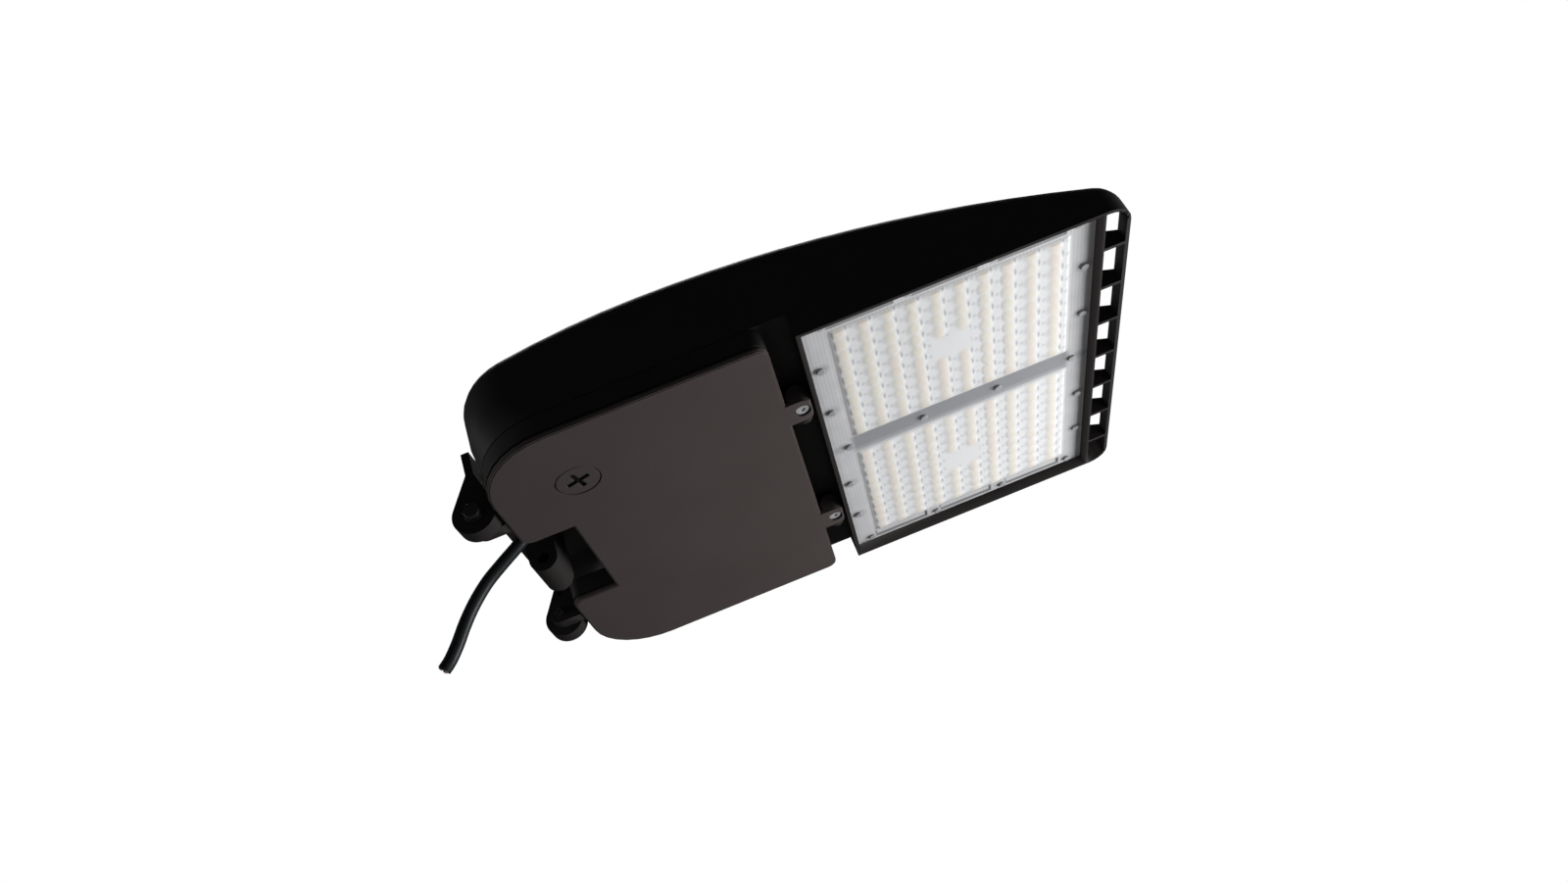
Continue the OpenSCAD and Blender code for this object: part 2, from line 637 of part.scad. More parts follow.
module gear_frame() {
    color([0.09, 0.09, 0.09]) difference() {
        union() {
            difference() {
                gear_plan(0, frame_z0, frame_z1, cover_front_r);
                gear_plan(wall, frame_z0 - over, frame_z1 + over, cover_front_r - wall);
            }
            difference() {
                gear_plan(wall / 2, frame_z0, frame_z0 + lip_t, cover_front_r - wall / 2);
                gear_plan(wall + lip_w, frame_z0 - over, frame_z0 + lip_t + over, 1);
            }
            for (p = frame_spots) translate([p[0], p[1], frame_z0])
                cylinder(r = boss_r, h = frame_z1 - frame_z0);
            at_hinges() hinge_cheek();
        }
        for (p = frame_spots) translate([p[0], p[1], frame_z0 - over]) {
            cylinder(r = frame_screw_r + slip, h = 40);
            cylinder(r = frame_screw_r + 2, h = lip_t + over);
        }
        bar_y(pin_r + run_gap, -half_w, half_w, pin_x, pin_z);
    }
}

module at_hinges() {
    for (s = [-1, 1]) translate([0, s * hinge_side, 0]) children();
}

// One cheek beside each tongue, on the same side of both, so that the cover can be slid off
cheek_in = tongue_w / 2 + slip;
module hinge_cheek() {
    side_plate(cheek_in, cheek_in + cheek_t) hull() {
        translate([pin_x, pin_z]) circle(r = tongue_r);
        translate([gear_x1 - over, frame_z0]) square([over, frame_z1 - frame_z0]);
    }
}

module frame_seal() {
    color([0.03, 0.03, 0.03]) difference() {
        gear_plan(0.6, frame_z1, seam_z, cover_front_r - 0.6);
        gear_plan(wall, frame_z1 - over, seam_z + over, cover_front_r - wall);
    }
}

module screw(p, za, shank, r, head_r, head_h) {
    translate([p[0], p[1], za]) {
        translate([0, 0, -head_h]) cylinder(r = head_r, h = head_h);
        translate([0, 0, -0.1]) cylinder(r = r, h = shank + 0.1);
    }
}

module frame_screws() {
    color([0.6, 0.6, 0.62]) for (p = frame_spots)
        screw(p, frame_z0 + lip_t, seam_z + 10 - frame_z0 - lip_t, frame_screw_r, frame_screw_r + 1.7, 2.2);
}

// Pins held in the tongues by the set screws
pin_start = 3 - tongue_w / 2;
module hinge_pins() {
    color([0.75, 0.75, 0.77]) at_hinges() bar_y(pin_r, pin_start, cheek_in + cheek_t + 2, pin_x, pin_z);
}

recess_deep = 2.5;
set_head_t = 1.4;
module set_screws() {
    color([0.7, 0.7, 0.72]) at_hinges() translate([pin_x, 0, z0 + recess_deep]) difference() {
        union() {
            translate([0, 0, -set_head_t]) cylinder(r = recess_r - 0.9, h = set_head_t);
            translate([0, 0, -0.1]) cylinder(r = set_r, h = tongue_r - pin_r - recess_deep + 0.1 - touch);
        }
        translate([0, 0, -set_head_t - over]) cylinder(r = set_r * 0.8, h = over + 0.9, $fn = 6);
    }
}

module pin_clips() {
    color([0.55, 0.55, 0.57]) at_hinges() difference() {
        bar_y(pin_r + 1.6, cheek_in + cheek_t, cheek_in + cheek_t + 0.9, pin_x, pin_z);
        bar_y(pin_r + touch, 0, cheek_in + cheek_t + 3, pin_x, pin_z);
    }
}

module gear_tray() {
    color([0.66, 0.67, 0.68]) difference() {
        block(tray_x0, tray_x1, tray_y0, tray_y1, tray_z, tray_z + tray_t);
        for (p = tray_spots) translate([p[0], p[1], tray_z - over]) cylinder(r = 1.8, h = tray_t + 2 * over);
    }
}

module tray_screws() {
    color([0.7, 0.7, 0.72]) for (p = tray_spots) screw(p, tray_z, tray_t + 7, 1.5, 3, 2);
}

module driver() {
    color([0.72, 0.73, 0.74]) block(driver_x0 + 6, driver_x1 - 6, driver_y0,
        driver_y0 + driver_w, driver_z0, tray_z);
}

module driver_end_caps() {
    color([0.2, 0.2, 0.21]) for (x = [driver_x0, driver_x1 - 6])
        block(x, x + 6, driver_y0, driver_y0 + driver_w, driver_z0, tray_z);
}

module surge_protector() {
    color([0.15, 0.2, 0.35]) block(driver_x1 - 68, driver_x1 - 18, tray_y0 + 16, tray_y0 + 46,
        tray_z - 25, tray_z);
}

module terminal_block() {
    color([0.85, 0.84, 0.8]) difference() {
        block(tray_x0 + 26, tray_x0 + 62, tray_y0 + 16, tray_y0 + 38, tray_z - 18, tray_z);
        for (i = [0:2]) translate([tray_x0 + 32 + 12 * i, tray_y0 + 27, tray_z - 18 - over])
            cylinder(r = 3, h = 8 + over);
    }
}

module dc_lead() {
    color([0.75, 0.12, 0.1]) tube(dc_route, 2, 8, [0, 1, 0.35]);
}

module board_area(side, grow, za, zb) {
    y0 = field_y0 + 1 - grow;
    y1 = field_y1 + 1 + grow;
    block(lens_mid_x - field_half_x - 3 - grow, lens_mid_x + field_half_x + 3 + grow,
        side > 0 ? y0 : -y1, side > 0 ? y1 : -y0, za, zb);
}

module heat_pads() {
    color([0.5, 0.5, 0.55]) for (s = [-1, 1]) board_area(s, -1, board_z1, z0 + cavity_h);
}

module led_board_near() {
    color([0.93, 0.93, 0.93]) board_area(-1, 0, board_z0, board_z1);
}

module led_board_far() {
    color([0.93, 0.93, 0.93]) board_area(1, 0, board_z0, board_z1);
}

module chips(side) {
    for (i = [0:led_cols - 1]) for (j = [0:led_rows - 1]) if (!led_left_out(i, j))
        translate([led_x0 + i * led_col_pitch - led_w / 2,
            side * (led_y0 + j * led_row_pitch) - led_w / 2, board_z0 - led_h])
            cube([led_w, led_w, led_h]);
}

module led_chips_near() {
    color([0.95, 0.85, 0.5]) chips(-1);
}

module led_chips_far() {
    color([0.95, 0.85, 0.5]) chips(1);
}

module board_connectors() {
    gap_y = led_y0 + (led_rows - 1) / 2 * led_row_pitch;
    color([0.95, 0.95, 0.95]) for (s = [-1, 1]) translate([lens_mid_x - 5, s * gap_y - 4, board_z0 - 0.9])
        cube([10, 8, 0.9]);
}

module lens_outline(inset, za, zb) {
    block(lens_x0 + inset, lens_x1 - inset, -cavity_half + inset, cavity_half - inset, za, zb);
}

module lens_seal() {
    color([0.85, 0.85, 0.85]) difference() {
        lens_outline(lens_gap, lens_z1, z0 + cavity_h);
        lens_outline(lens_gap + seal_w, lens_z1 - over, z0 + cavity_h + over);
        for (p = lens_spots) translate([p[0], p[1], lens_z1 - over])
            cylinder(r = lens_screw_r + 0.5, h = cavity_h);
    }
}

module lens_plate() {
    color([0.85, 0.9, 0.95]) difference() {
        union() {
            lens_outline(lens_gap, lens_z0, lens_z1);
            for (s = [-1, 1]) block(lens_mid_x - field_half_x, lens_mid_x + field_half_x,
                s > 0 ? field_y0 : -field_y1, s > 0 ? field_y1 : -field_y0,
                lens_z0 - field_h, lens_z0 + lens_t / 2);
        }
        for (p = lens_spots) translate([p[0], p[1], lens_z0 - over])
            cylinder(r = lens_screw_r + 0.3, h = lens_t + 2 * over);
    }
}

module lens_screws() {
    color([0.75, 0.75, 0.78]) for (p = lens_spots)
        screw(p, lens_z0, cavity_h - lens_inset + 3, lens_screw_r, lens_head_r, 1.8);
}

// Driver cover with rounded lower edge
module cover_plate() {
    gear_plan(cover_edge_r, z0, z0 + cover_edge_r, cover_front_r - cover_edge_r);
    gear_plan(cover_edge_r * 0.3, z0 + cover_edge_r * 0.3, z0 + cover_t, cover_front_r - cover_edge_r * 0.3);
    gear_plan(0, z0 + cover_edge_r, z0 + cover_t, cover_front_r);
}

// Tongue with a rounded end round the hinge pin, seen from the side and from below
module tongue() {
    end_x = pin_x + nose_r;
    intersection() {
        side_plate(-tongue_w / 2, tongue_w / 2) union() {
            translate([pin_x, pin_z]) circle(r = nose_r);
            translate([gear_x1 - 3, z0]) square([pin_x - gear_x1 + 3, cover_t]);
        }
        slab(both_sides(concat([[gear_x1 - 4, tongue_w / 2]],
            [for (i = [0:6]) [end_x - nose_r + nose_r * sin(15 * i),
                tongue_w / 2 - nose_r + nose_r * cos(15 * i)]])), z0, z0 + 3 * nose_r);
    }
}

module driver_cover() {
    color([0.26, 0.24, 0.23]) difference() {
        union() {
            cover_plate();
            difference() {
                gear_plan(wall + lip_w + 1, z0 + cover_t - 0.2, frame_z0 + 2, 2);
                gear_plan(wall + lip_w + 3.5, z0 + cover_t - over, frame_z0 + 3, 1);
            }
            at_hinges() tongue();
            translate([latch_pos[0], latch_pos[1], z0 + cover_t - 0.5])
                cylinder(r = latch_head_r + 3, h = 2.3);
        }
        at_hinges() bar_y(pin_r + touch, pin_start - touch, tongue_w / 2 + over, pin_x, pin_z);
        at_hinges() translate([pin_x, 0, z0 - over]) {
            cylinder(r = recess_r, h = recess_deep + over);
            cylinder(r = set_r + touch, h = tongue_r + over);
        }
        translate([latch_pos[0], latch_pos[1], z0 - over])
            cylinder(r = latch_head_r + 0.8, h = over + latch_head_t + 0.3);
        translate([latch_pos[0], latch_pos[1], z0]) cylinder(r = latch_stud_r + run_gap, h = 12);
    }
}

module cover_seal() {
    color([0.03, 0.03, 0.03]) difference() {
        gear_plan(1.2, z0 + cover_t, frame_z0, cover_front_r - 1.2);
        gear_plan(1.2 + cover_seal_w, z0 + cover_t - over, frame_z0 + over, 1);
    }
}

latch_top = z0 + cover_t + 1.8;
module latch_screw() {
    color([0.26, 0.24, 0.23]) translate([latch_pos[0], latch_pos[1], 0]) difference() {
        union() {
            translate([0, 0, z0 + 0.2]) cylinder(r = latch_head_r, h = latch_head_t);
            translate([0, 0, z0 + latch_head_t]) cylinder(r = latch_stud_r, h = 20 - latch_head_t);
        }
        for (a = [0, 90]) rotate(cross_turn + a) translate([-cross_len / 2, -cross_w / 2, z0 - over])
            cube([cross_len, cross_w, over + 1.8]);
    }
}

module latch_retainer() {
    color([0.6, 0.6, 0.62]) translate([latch_pos[0], latch_pos[1], latch_top]) difference() {
        cylinder(r = latch_stud_r + 2.5, h = 1);
        translate([0, 0, -over]) cylinder(r = latch_stud_r + touch, h = 1 + 2 * over);
    }
}

module strain_relief() {
    color([0.05, 0.05, 0.05]) translate([0, -cord_side, cord_z]) rotate([0, 90, 0]) difference() {
        union() {
            translate([0, 0, relief_x]) cylinder(r1 = cord_r + 1.2, r2 = cord_r + 2.6, h = relief_len - 2.5);
            translate([0, 0, notch_x1 - 2.6]) cylinder(r = cord_r + 4.2, h = 2.6);
            translate([0, 0, notch_x1 - 0.1]) cylinder(r = cord_r + 2 - touch, h = wall + 0.2);
            translate([0, 0, notch_x1 + wall]) cylinder(r = cord_r + 3.4, h = 2.6);
        }
        translate([0, 0, relief_x - over]) cylinder(r = cord_r + 0.15, h = relief_len + 20);
    }
}

module cord() {
    color([0.07, 0.08, 0.08]) tube(cord_route, cord_r, 12, [0, 1, 0]);
}

module cord_cores() {
    tip = cord_route[len(cord_route) - 1];
    way = tangent(cord_route, len(cord_route) - 1);
    color([0.8, 0.5, 0.3]) for (k = [0:2]) {
        out = 2.2 * [0, cos(120 * k), 0] + 2.2 * sin(120 * k) * cross(way, [0, 1, 0]);
        tube([tip + out, tip + out + 0.6 * way, tip + out + 1.2 * way], 1.3, 8, [0, 1, 0]);
    }
}

bracket();
pivot_bolts();
pivot_washers();
friction_washers();
housing();
cooling_fins();
gear_frame();
frame_seal();
frame_screws();
hinge_pins();
set_screws();
pin_clips();
gear_tray();
tray_screws();
driver();
driver_end_caps();
surge_protector();
terminal_block();
dc_lead();
heat_pads();
led_board_near();
led_board_far();
led_chips_near();
led_chips_far();
board_connectors();
lens_seal();
lens_plate();
lens_screws();
driver_cover();
cover_seal();
latch_screw();
latch_retainer();
strain_relief();
cord();
cord_cores();
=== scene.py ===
# %% [markdown]
# An outdoor flood light, seen from below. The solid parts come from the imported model, which gives
# every part its true place and size in metres. This lesson gives each of them its finish, and makes
# anew the parts whose looks need more than a plain solid: the clear lens, the LEDs and the cord.

# %% Load the solid parts
import json
import math
import bmesh
import bpy
from mathutils import Matrix, Vector

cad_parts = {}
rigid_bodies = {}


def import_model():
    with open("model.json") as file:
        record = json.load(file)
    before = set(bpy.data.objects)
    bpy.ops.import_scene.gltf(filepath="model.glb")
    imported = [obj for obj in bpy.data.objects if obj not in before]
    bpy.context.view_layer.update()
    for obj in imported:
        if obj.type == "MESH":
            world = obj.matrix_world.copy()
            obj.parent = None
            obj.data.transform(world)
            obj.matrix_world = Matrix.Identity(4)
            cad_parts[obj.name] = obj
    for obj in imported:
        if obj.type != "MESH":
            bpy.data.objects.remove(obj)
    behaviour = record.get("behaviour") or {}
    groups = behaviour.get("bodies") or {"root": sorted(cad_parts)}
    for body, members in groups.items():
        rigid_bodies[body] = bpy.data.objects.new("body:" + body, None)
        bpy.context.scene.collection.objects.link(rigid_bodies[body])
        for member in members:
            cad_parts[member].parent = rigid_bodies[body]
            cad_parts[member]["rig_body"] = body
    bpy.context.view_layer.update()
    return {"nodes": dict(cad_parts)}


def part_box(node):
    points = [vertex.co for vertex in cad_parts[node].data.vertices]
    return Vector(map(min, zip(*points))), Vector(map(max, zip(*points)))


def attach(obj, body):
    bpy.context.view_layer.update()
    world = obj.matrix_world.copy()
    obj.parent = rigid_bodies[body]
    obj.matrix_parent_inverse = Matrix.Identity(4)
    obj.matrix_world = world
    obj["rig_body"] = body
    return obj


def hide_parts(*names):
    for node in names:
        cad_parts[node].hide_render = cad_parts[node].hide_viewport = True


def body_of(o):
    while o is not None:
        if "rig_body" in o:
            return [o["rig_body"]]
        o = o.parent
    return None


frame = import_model()
nodes = frame["nodes"]
mm = 0.001

# %% [markdown]
# The photograph looks up at the light from below, and is rolled by about twenty degrees. A camera
# could be aimed with a Track To constraint, but that can't roll it. So the three directions of the
# view are written down, and a matrix is made from them.

# %% Camera
view_right = Vector((0.92771, 0.17659, -0.32889))
view_down = Vector((-0.37209, 0.5085, -0.77653))
view_ahead = Vector((0.03011, 0.84277, 0.53745))
view_from = Vector((0.1745, -0.6986, -0.4559))
camera_data = bpy.data.cameras.new("camera")
camera_data.lens = 27
camera_data.sensor_width = 36
camera = bpy.data.objects.new("camera", camera_data)
turn = Matrix((view_right, -view_down, -view_ahead)).transposed().to_4x4()
camera.matrix_world = Matrix.Translation(view_from) @ turn
bpy.context.scene.collection.objects.link(camera)
bpy.context.scene.camera = camera
print("camera at", [round(v, 3) for v in camera.matrix_world.translation])

# %% [markdown]
# A finish is never one flat colour. Powder coat has a fine orange-peel grain and faint clouds in
# its tone, rubber is duller and rougher, and steel has a soft, uneven sheen. One helper makes them
# all: a large soft noise mixes two tones, and a small noise drives the roughness and the bump.

# %% A helper for finishes
rough_swing = 0.06
relief_depth = 0.3 * mm

def finish(name, tone_a, tone_b, rough, grain_mm=0.6, bump=0.15, metal=0.0, shine=0.5, cloud_mm=40):
    material = bpy.data.materials.new(name)
    material.use_nodes = True
    tree = material.node_tree
    shader = tree.nodes["Principled BSDF"]
    shader.inputs["Metallic"].default_value = metal
    shader.inputs["Specular IOR Level"].default_value = shine
    place = tree.nodes.new("ShaderNodeTexCoord")
    cloud = tree.nodes.new("ShaderNodeTexNoise")
    cloud.inputs["Scale"].default_value = 1 / (cloud_mm * mm)
    cloud.inputs["Detail"].default_value = 3
    tones = tree.nodes.new("ShaderNodeMix")
    tones.data_type = "RGBA"
    tones.inputs["A"].default_value = (*tone_a, 1)
    tones.inputs["B"].default_value = (*tone_b, 1)
    grain = tree.nodes.new("ShaderNodeTexNoise")
    grain.inputs["Scale"].default_value = 1 / (grain_mm * mm)
    grain.inputs["Detail"].default_value = 2
    spread = tree.nodes.new("ShaderNodeMapRange")
    spread.inputs["To Min"].default_value = rough - rough_swing
    spread.inputs["To Max"].default_value = rough + rough_swing
    relief = tree.nodes.new("ShaderNodeBump")
    relief.inputs["Strength"].default_value = bump
    relief.inputs["Distance"].default_value = relief_depth
    join = tree.links.new
    join(place.outputs["Object"], cloud.inputs["Vector"])
    join(place.outputs["Object"], grain.inputs["Vector"])
    join(cloud.outputs["Fac"], tones.inputs["Factor"])
    join(tones.outputs["Result"], shader.inputs["Base Color"])
    join(grain.outputs["Fac"], spread.inputs["Value"])
    join(spread.outputs["Result"], shader.inputs["Roughness"])
    join(grain.outputs["Fac"], relief.inputs["Height"])
    join(relief.outputs["Normal"], shader.inputs["Normal"])
    return material

# %% [markdown]
# The supply cord is a round rubber-sheathed cord with its end cut bare. It leaves the strain relief,
# bends down and hangs in front of the bracket. A curve with a round bevel has its true thickness
# everywhere, so it is made as one open spline through the same points as the solid cord.

# %% Supply cord
cord_route = [(46, -33, -17), (36, -33, -17), (25, -33, -17), (16, -33, -23.5), (7, -33, -30.3),
              (-6, -33, -38.9), (-18, -33, -47.6), (-29, -33, -58.7), (-38, -33, -70.5),
              (-45.5, -33, -82.5), (-52, -33, -91.3), (-57.5, -33, -96.5)]
cord_across = 9 * mm

def smooth_route(points, parts=5):
    route = []
    last = len(points) - 1
    for i in range(last):
        p = [Vector(points[max(0, min(last, k))]) for k in (i - 1, i, i + 1, i + 2)]
        for step in range(parts):
            t = step / parts
            route.append(0.5 * (2 * p[1] + (p[2] - p[0]) * t
                         + (2 * p[0] - 5 * p[1] + 4 * p[2] - p[3]) * t * t
                         + (3 * p[1] - p[0] - 3 * p[2] + p[3]) * t ** 3))
    return [point * mm for point in route] + [Vector(points[-1]) * mm]

def curve_piece(name, route, radius, material):
    data = bpy.data.curves.new(name, "CURVE")
    data.dimensions = "3D"
    data.bevel_depth = radius
    data.bevel_resolution = 5
    data.use_fill_caps = True
    spline = data.splines.new("POLY")
    spline.points.add(len(route) - 1)
    for point, place in zip(spline.points, route):
        point.co = (*place, 1)
    piece = bpy.data.objects.new(name, data)
    bpy.context.scene.collection.objects.link(piece)
    data.materials.append(material)
    return piece

cord_jacket = finish("cord_jacket", (0.007, 0.009, 0.010), (0.014, 0.017, 0.019), 0.42, 0.8, 0.12,
                     shine=0.2)
cord_line = smooth_route(cord_route)
supply_cord = curve_piece("supply_cord", cord_line, cord_across / 2, cord_jacket)
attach(supply_cord, "fixture")
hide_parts("cord")

# %% [markdown]
# At the cut end of the cord, its three cores show: copper strands in grey sleeves. They could be
# pressed into the jacket's mesh, but short curves like the cord itself are simpler. Each begins
# inside the rubber and stands out of it by a millimetre at most.

# %% Bare cores of the cord
core_copper = finish("core_copper", (0.50, 0.22, 0.12), (0.62, 0.30, 0.17), 0.35, 0.25, 0.4, metal=0.9)
core_grey = finish("core_grey", (0.20, 0.21, 0.22), (0.26, 0.27, 0.28), 0.5, 0.5, 0.1)
core_from_middle = 2.2 * mm
sleeve_radius, strand_radius = 1.75 * mm, 1.2 * mm
sleeve_shows, strand_shows = 0.5 * mm, 1.0 * mm
core_hidden = 1.0 * mm
cord_end = cord_line[-1]
cord_way = (cord_line[-1] - cord_line[-3]).normalized()
sideways = Vector((0, 1, 0))
cores = []
for k in range(3):
    angle = math.radians(120 * k)
    side = math.cos(angle) * sideways + math.sin(angle) * cord_way.cross(sideways)
    foot = cord_end + side * core_from_middle
    start = foot - cord_way * core_hidden
    sleeve = curve_piece(f"core_sleeve_{k}", [start, foot + cord_way * sleeve_shows],
                         sleeve_radius, core_grey)
    strand = curve_piece(f"core_strand_{k}", [start, foot + cord_way * strand_shows],
                         strand_radius, core_copper)
    cores += [sleeve, strand]
for piece in cores:
    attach(piece, "fixture")
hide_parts("cord_cores")
print("cores:", len(cores))

# %% [markdown]
# Castings and machined parts have small rounded edges, and those edges catch the light. The solid
# parts have sharp ones. A solid part's mesh may not be changed, so each one is copied, its flat
# faces are joined again, and a Bevel modifier rounds the edges of the copy.

# %% A helper that rounds the edges of a solid part
weld_distance = 0.002 * mm
same_plane = math.radians(0.3)

def dressed(node, material, width_mm, segments=2, crease=32, joined=True):
    source = nodes[node]
    shape = bmesh.new()
    shape.from_mesh(source.data)
    bmesh.ops.remove_doubles(shape, verts=shape.verts, dist=weld_distance)
    if joined:
        bmesh.ops.dissolve_limit(shape, angle_limit=same_plane, verts=shape.verts, edges=shape.edges)
    data = bpy.data.meshes.new(node + "_dressed")
    shape.to_mesh(data)
    shape.free()
    data.materials.clear()
    data.materials.append(material)
    data.polygons.foreach_set("material_index", [0] * len(data.polygons))
    data.shade_smooth()
    data.set_sharp_from_angle(angle=math.radians(crease))
    piece = bpy.data.objects.new(node + "_dressed", data)
    bpy.context.scene.collection.objects.link(piece)
    if width_mm:
        rounding = piece.modifiers.new("rounded edges", "BEVEL")
        rounding.width = width_mm * mm
        rounding.segments = segments
        rounding.limit_method = "ANGLE"
        rounding.angle_limit = math.radians(crease)
        rounding.use_clamp_overlap = True
        rounding.harden_normals = True
    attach(piece, body_of(source)[0])
    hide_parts(node)
    return piece

# %% [markdown]
# The housing, its fins, the frame and the bracket are aluminium castings with one very dark powder
# coat. Most of the light comes from below, so their sides stay almost black and only the curved
# corners gleam. The housing's arch has many narrow faces, and joining or bevelling them would spoil
# its smooth shading, so it keeps them as they are.

# %% Black castings
black_coat = finish("black_coat", (0.022, 0.0197, 0.0192), (0.028, 0.0256, 0.025), 0.5, 0.7, 0.12,
                    shine=0.1)
castings = [dressed("housing", black_coat, 0, joined=False),
            dressed("cooling_fins", black_coat, 0.3),
            dressed("gear_frame", black_coat, 0.5),
            dressed("bracket", black_coat, 1.2, 3)]
print("castings:", [piece.name for piece in castings])

# %% [markdown]
# Some finishes change with the place on a part. An image could be painted for that, but Math nodes
# can work it out from the part's own coordinates, at any sharpness. Small helpers make such nodes:
# one for any sum, one for a distance, one for a pattern that repeats, one for a soft edge, and one
# that lays a tone over a finish.

# %% Helpers for tones that change with the place
def place_on_part(material):
    """The node tree of a finish, and the X, Y and Z of the place on the part in metres."""
    tree = material.node_tree
    place = tree.nodes.new("ShaderNodeSeparateXYZ")
    tree.links.new(tree.nodes["Texture Coordinate"].outputs["Object"], place.inputs["Vector"])
    return tree, place.outputs["X"], place.outputs["Y"], place.outputs["Z"]

def reckon(tree, operation, *values):
    """One Math node, with numbers or other nodes' outputs as its values."""
    node = tree.nodes.new("ShaderNodeMath")
    node.operation = operation
    for socket, value in zip(node.inputs, values):
        if isinstance(value, (int, float)):
            socket.default_value = value
        else:
            tree.links.new(value, socket)
    return node.outputs[0]

def times(tree, first, *others):
    for other in others:
        first = reckon(tree, "MULTIPLY", first, other)
    return first

def away_from(tree, place, point):
    """How far a place is from a point on the same axis."""
    return reckon(tree, "ABSOLUTE", reckon(tree, "SUBTRACT", place, point))

def away_in_pitch(tree, place, start, pitch):
    """How far a place is from the nearest of the repeated points, in mm."""
    turns = reckon(tree, "DIVIDE", reckon(tree, "SUBTRACT", place, start * mm), pitch * mm)
    return times(tree, away_from(tree, turns, reckon(tree, "ROUND", turns)), pitch)

def fade(tree, distance, full, none):
    """1 up to the distance full, then less, and 0 from the distance none on."""
    node = tree.nodes.new("ShaderNodeMapRange")
    node.interpolation_type = "SMOOTHSTEP"
    node.inputs["From Min"].default_value = full
    node.inputs["From Max"].default_value = none
    node.inputs["To Min"].default_value = 1
    node.inputs["To Max"].default_value = 0
    tree.links.new(distance, node.inputs["Value"])
    return node.outputs["Result"]

def tint(material, amount, tone):
    """Lays a tone over the material's base colour, as strongly as the amount says."""
    tree = material.node_tree
    colour = tree.nodes["Principled BSDF"].inputs["Base Color"]
    mix = tree.nodes.new("ShaderNodeMix")
    mix.data_type = "RGBA"
    mix.inputs["B"].default_value = (*tone, 1)
    tree.links.new(amount, mix.inputs["Factor"])
    tree.links.new(colour.links[0].from_socket, mix.inputs["A"])
    tree.links.new(mix.outputs["Result"], colour)

# %% [markdown]
# The driver cover faces the light. Its coat is given a little lighter and warmer tone than that of
# the castings, as painted light on that face. The latch has the same coat. Its cross is so shallow
# that light would fill it, yet it looks nearly black. So the latch's tone darkens with the depth
# behind its face, as painted shade in the cross.

# %% Driver cover and latch
# Painted light: this coat's lighter, warmer tone stands for the light on the cover's lit face.
def lit_grey_brown(name):
    return finish(name, (0.060, 0.0495, 0.0478), (0.073, 0.0615, 0.060), 0.55, 0.7, 0.14,
                  shine=0.1, cloud_mm=60)

cover = dressed("driver_cover", lit_grey_brown("lit_cover_coat"), 0.7)
latch_coat_lit_and_shaded = lit_grey_brown("latch_coat_lit_and_shaded")
tree, _, _, place_z = place_on_part(latch_coat_lit_and_shaded)
depth = reckon(tree, "SUBTRACT", place_z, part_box("latch_screw")[0].z)
on_face = fade(tree, depth, 0.3 * mm, 0.7 * mm)
# Painted shade: the cross, deeper than the latch's face, is darkened nearly to black.
tint(latch_coat_lit_and_shaded, reckon(tree, "SUBTRACT", 1.0, on_face), (0.006, 0.005, 0.005))
latch = dressed("latch_screw", latch_coat_lit_and_shaded, 0.35)
print("cover pieces:", cover.name, latch.name)

# %% [markdown]
# The small hardware is bare or blackened steel. A metal needs something to reflect and a little
# roughness in its grain, so it is given a high metal value with a fine noise in its gleam. The
# screws of the lens and the set screws are plated and dull, so they reflect less.

# %% Steel hardware
bright_steel = finish("bright_steel", (0.50, 0.50, 0.51), (0.60, 0.60, 0.61), 0.32, 0.3, 0.08, metal=1.0)
dark_steel = finish("dark_steel", (0.03, 0.03, 0.032), (0.05, 0.05, 0.052), 0.38, 0.4, 0.1, metal=0.6)
dull_steel = finish("dull_steel", (0.28, 0.28, 0.29), (0.38, 0.38, 0.39), 0.6, 0.4, 0.1, metal=0.2)
spring_steel = finish("spring_steel", (0.35, 0.35, 0.36), (0.45, 0.45, 0.46), 0.35, 0.4, 0.1, metal=1.0)
hardware = [dressed("pivot_bolts", dark_steel, 0.5),
            dressed("pivot_washers", dark_steel, 0.2),
            dressed("friction_washers", spring_steel, 0.1),
            dressed("hinge_pins", bright_steel, 0.5),
            dressed("set_screws", dull_steel, 0.3),
            dressed("pin_clips", bright_steel, 0.15),
            dressed("lens_screws", dull_steel, 0.4),
            dressed("frame_screws", bright_steel, 0.4),
            dressed("tray_screws", bright_steel, 0.4),
            dressed("latch_retainer", bright_steel, 0.15)]
print("hardware:", len(hardware))

# %% [markdown]
# Seals and pads are soft and dull. They keep the solid part's shape, with a rounded edge where they
# bulge a little between the two castings.

# %% Seals
seal_rubber = finish("seal_rubber", (0.012, 0.012, 0.012), (0.02, 0.02, 0.02), 0.75, 0.5, 0.2, shine=0.3)
lens_gasket = finish("lens_gasket", (0.66, 0.66, 0.67), (0.76, 0.76, 0.77), 0.6, 0.5, 0.15)
heat_pad = finish("heat_pad", (0.30, 0.31, 0.35), (0.38, 0.39, 0.43), 0.7, 0.5, 0.2)
seals = [dressed("frame_seal", seal_rubber, 0.15),
         dressed("cover_seal", seal_rubber, 0.5),
         dressed("lens_seal", lens_gasket, 0.4),
         dressed("heat_pads", heat_pad, 0.05)]
print("seals:", len(seals))

# %% [markdown]
# Behind the cover sit the driver, the surge protector and the terminal block on an aluminium tray.
# They show only when the cover hangs open, so plain forms with true finishes are enough. The lead
# is already round, and needs no rounded edges.

